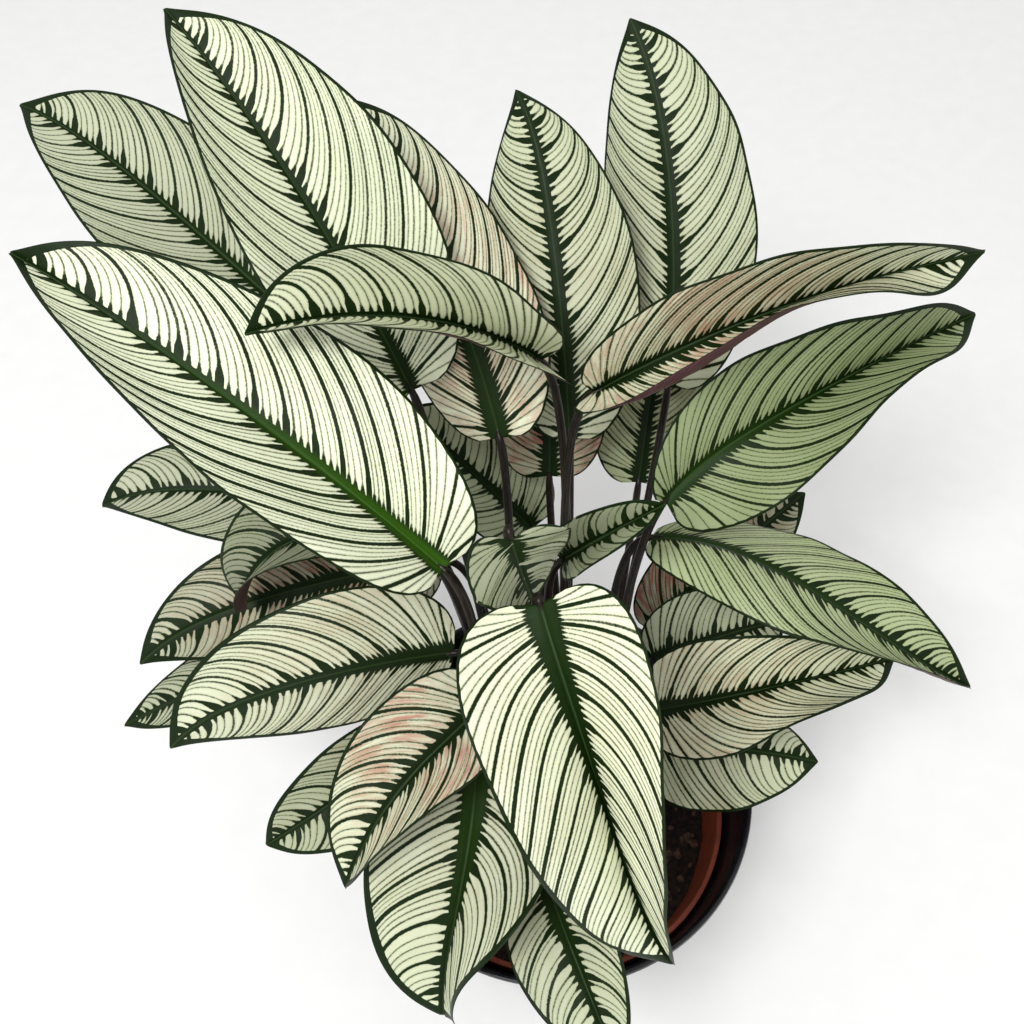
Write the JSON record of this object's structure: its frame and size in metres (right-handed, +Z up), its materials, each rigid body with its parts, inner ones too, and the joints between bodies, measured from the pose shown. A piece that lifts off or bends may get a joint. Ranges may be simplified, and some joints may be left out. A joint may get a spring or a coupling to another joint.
{
  "type": "potted plant",
  "caption": "Leafy prayer plant with broad cream and dark green striped leaves on slim dark stalks, standing in a nursery pot inside a round tapered cover pot.",
  "frame": {"origin": "centre of the cover pot's flat underside, on the surface it stands on", "axes": "+Z up, +Y away from the viewer of the plant, +X to the viewer's right"},
  "size_m": [0.4465, 0.3883, 0.4522],
  "materials": {
    "cover_pot": "moulded black, half gloss",
    "nursery_pot": "moulded terracotta brown, satin",
    "soil": "damp potting soil with bark",
    "stalk": "dark purple brown plant stalk, satin",
    "leaf": "cream leaf with dark green stripes, burgundy beneath, satin"
  },
  "bodies": {
    "root": {"cover_pot": "cover_pot", "nursery_pot": "nursery_pot", "soil": "soil", "shoot_front": "stalk", "shoot_left": "stalk", "shoot_back_left": "stalk", "shoot_back": "stalk", "shoot_back_right": "stalk", "shoot_right": "stalk", "blade_back_far_left": "leaf", "blade_back_tall_left": "leaf", "blade_back_left": "leaf", "blade_back_middle": "leaf", "blade_back_tall_right": "leaf", "blade_folded_left": "leaf", "blade_folded_right": "leaf", "blade_back_low_right": "leaf", "blade_right_upper": "leaf", "blade_right_middle": "leaf", "blade_right_lower": "leaf", "blade_right_lowest": "leaf", "blade_right_hidden": "leaf", "blade_right_pink": "leaf", "blade_front_large": "leaf", "blade_front_left": "leaf", "blade_front_left_upper": "leaf", "blade_left_low": "leaf", "blade_left_middle": "leaf", "blade_left_hidden": "leaf", "blade_left_pink": "leaf", "blade_left_large": "leaf", "blade_left_behind": "leaf", "blade_left_drooping": "leaf", "blade_centre_small": "leaf", "blade_centre_young": "leaf", "blade_back_low_left": "leaf", "blade_back_low_middle": "leaf", "blade_front_lowest": "leaf"}
  },
  "joints": []
}
